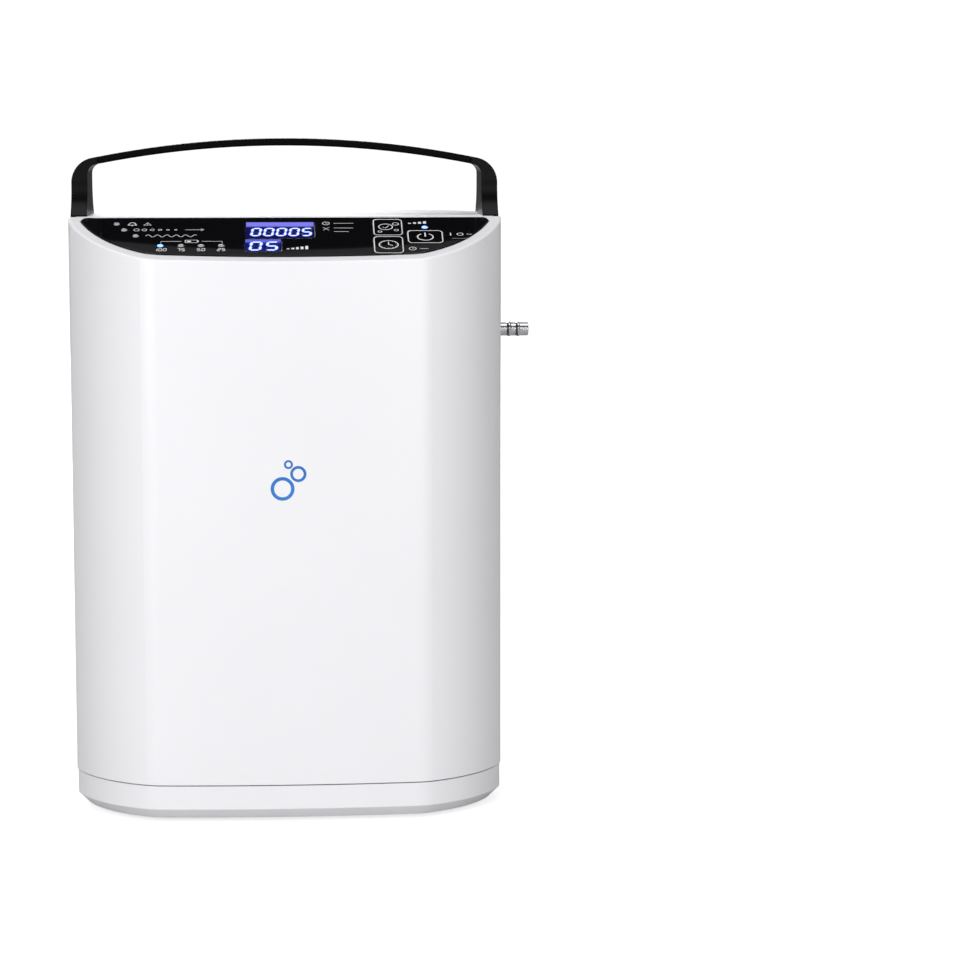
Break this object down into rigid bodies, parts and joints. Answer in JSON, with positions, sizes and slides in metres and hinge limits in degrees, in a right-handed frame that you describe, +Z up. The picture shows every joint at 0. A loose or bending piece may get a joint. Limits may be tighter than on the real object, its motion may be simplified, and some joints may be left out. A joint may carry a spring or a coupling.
{
  "type": "portable oxygen concentrator",
  "caption": "Upright white case with rounded corners, a sloped glossy control panel, black vented side strips rising into a flat arched handle, and a side hose barb.",
  "frame": {"origin": "in the plane of the rubber feet, under the middle of the body", "axes": "+Z up, -Y towards the user (the sloped control panel), +X towards the side with the oxygen outlet"},
  "size_m": [0.2042, 0.136, 0.2969],
  "materials": {
    "housing": "satin white ABS",
    "base_tray": "satin white ABS",
    "right_side_panel": "fine-textured black",
    "left_side_panel": "fine-textured black",
    "handle_grip": "fine-textured black",
    "base_gasket": "matt black",
    "rubber_feet": "matt black",
    "outlet_seal": "matt black",
    "compressor_isolators": "matt black",
    "control_panel": "polished black",
    "grade_key": "polished black",
    "timer_key": "polished black",
    "power_key": "polished black",
    "display_lenses": "smoked, clear over the display",
    "indicator_leds": "translucent",
    "oxygen_outlet": "nickel plated",
    "outlet_nut": "nickel plated",
    "dc_jack_ring": "nickel plated",
    "dc_jack_sleeve": "nickel plated",
    "dc_jack_pin": "nickel plated",
    "dc_jack_body": "matt",
    "fan_frame": "matt",
    "fan_rotor": "matt",
    "solenoid_coils": "matt",
    "intake_filter": "matt",
    "dome_switches": "matt",
    "display_modules": "matt",
    "buzzer": "matt",
    "board_parts": "matt",
    "base_screws": "zinc plated",
    "deck_screws": "zinc plated",
    "crankshaft": "zinc plated",
    "valve_plunger_left": "zinc plated",
    "valve_plunger_right": "zinc plated",
    "compressor_motor": "zinc plated",
    "battery_case": "matt",
    "battery_lid": "matt",
    "display_board": "matt",
    "control_board": "matt",
    "battery_cells": "shrink sleeve",
    "lower_deck": "anodised",
    "upper_deck": "anodised",
    "deck_spacers": "anodised",
    "crankcase": "anodised",
    "cylinders": "anodised",
    "cylinder_heads": "anodised",
    "pistons": "anodised",
    "sieve_tubes": "anodised",
    "sieve_caps": "anodised",
    "product_tank": "anodised",
    "valve_manifold": "anodised",
    "sieve_media": "packed beads",
    "exhaust_foam": "open foam",
    "intake_foam": "open foam",
    "feed_hoses": "silicone hose",
    "outlet_hose": "silicone hose",
    "exhaust_muffler": "matt",
    "oxygen_sensor": "matt"
  },
  "bodies": {
    "enclosure": {"housing": "housing", "base_tray": "base_tray", "right_side_panel": "right_side_panel", "left_side_panel": "left_side_panel", "handle_grip": "handle_grip", "base_gasket": "base_gasket", "rubber_feet": "rubber_feet", "outlet_seal": "outlet_seal", "compressor_isolators": "compressor_isolators", "control_panel": "control_panel", "display_lenses": "display_lenses", "indicator_leds": "indicator_leds", "oxygen_outlet": "oxygen_outlet", "outlet_nut": "outlet_nut", "dc_jack_ring": "dc_jack_ring", "dc_jack_sleeve": "dc_jack_sleeve", "dc_jack_pin": "dc_jack_pin", "dc_jack_body": "dc_jack_body", "fan_frame": "fan_frame", "solenoid_coils": "solenoid_coils", "intake_filter": "intake_filter", "dome_switches": "dome_switches", "display_modules": "display_modules", "buzzer": "buzzer", "board_parts": "board_parts", "base_screws": "base_screws", "deck_screws": "deck_screws", "compressor_motor": "compressor_motor", "battery_case": "battery_case", "battery_lid": "battery_lid", "display_board": "display_board", "control_board": "control_board", "battery_cells": "battery_cells", "lower_deck": "lower_deck", "upper_deck": "upper_deck", "deck_spacers": "deck_spacers", "crankcase": "crankcase", "cylinders": "cylinders", "cylinder_heads": "cylinder_heads", "pistons": "pistons", "sieve_tubes": "sieve_tubes", "sieve_caps": "sieve_caps", "product_tank": "product_tank", "valve_manifold": "valve_manifold", "sieve_media": "sieve_media", "exhaust_foam": "exhaust_foam", "intake_foam": "intake_foam", "feed_hoses": "feed_hoses", "outlet_hose": "outlet_hose", "exhaust_muffler": "exhaust_muffler", "oxygen_sensor": "oxygen_sensor"},
    "grade_key_body": {"grade_key": "grade_key"},
    "timer_key_body": {"timer_key": "timer_key"},
    "power_key_body": {"power_key": "power_key"},
    "fan_rotor_body": {"fan_rotor": "fan_rotor"},
    "crankshaft_body": {"crankshaft": "crankshaft"},
    "left_plunger_body": {"valve_plunger_left": "valve_plunger_left"},
    "right_plunger_body": {"valve_plunger_right": "valve_plunger_right"}
  },
  "joints": [
    {"name": "grade_key_press", "type": "slide", "parent": "enclosure", "child": "grade_key_body", "axis": [0, 0.3843, -0.9232], "range_m": [0, 0.0006], "stiffness_N_per_m": 1500, "springref_m": -0.0002},
    {"name": "timer_key_press", "type": "slide", "parent": "enclosure", "child": "timer_key_body", "axis": [0, 0.3843, -0.9232], "range_m": [0, 0.0006], "stiffness_N_per_m": 1500, "springref_m": -0.0002},
    {"name": "power_key_press", "type": "slide", "parent": "enclosure", "child": "power_key_body", "axis": [0, 0.3843, -0.9232], "range_m": [0, 0.0006], "stiffness_N_per_m": 1500, "springref_m": -0.0002},
    {"name": "fan_spin", "type": "hinge", "parent": "enclosure", "child": "fan_rotor_body", "pos_m": [0.071, 0, 0.105], "axis": [1, 0, 0], "continuous": true},
    {"name": "crankshaft_spin", "type": "hinge", "parent": "enclosure", "child": "crankshaft_body", "pos_m": [0, 0, 0.085], "axis": [0, 1, 0], "continuous": true},
    {"name": "left_plunger_lift", "type": "slide", "parent": "enclosure", "child": "left_plunger_body", "axis": [0, 0, 1], "range_m": [0, 0.0012], "stiffness_N_per_m": 400, "springref_m": -0.0004},
    {"name": "right_plunger_lift", "type": "slide", "parent": "enclosure", "child": "right_plunger_body", "axis": [0, 0, 1], "range_m": [0, 0.0012], "stiffness_N_per_m": 400, "springref_m": -0.0004}
  ]
}
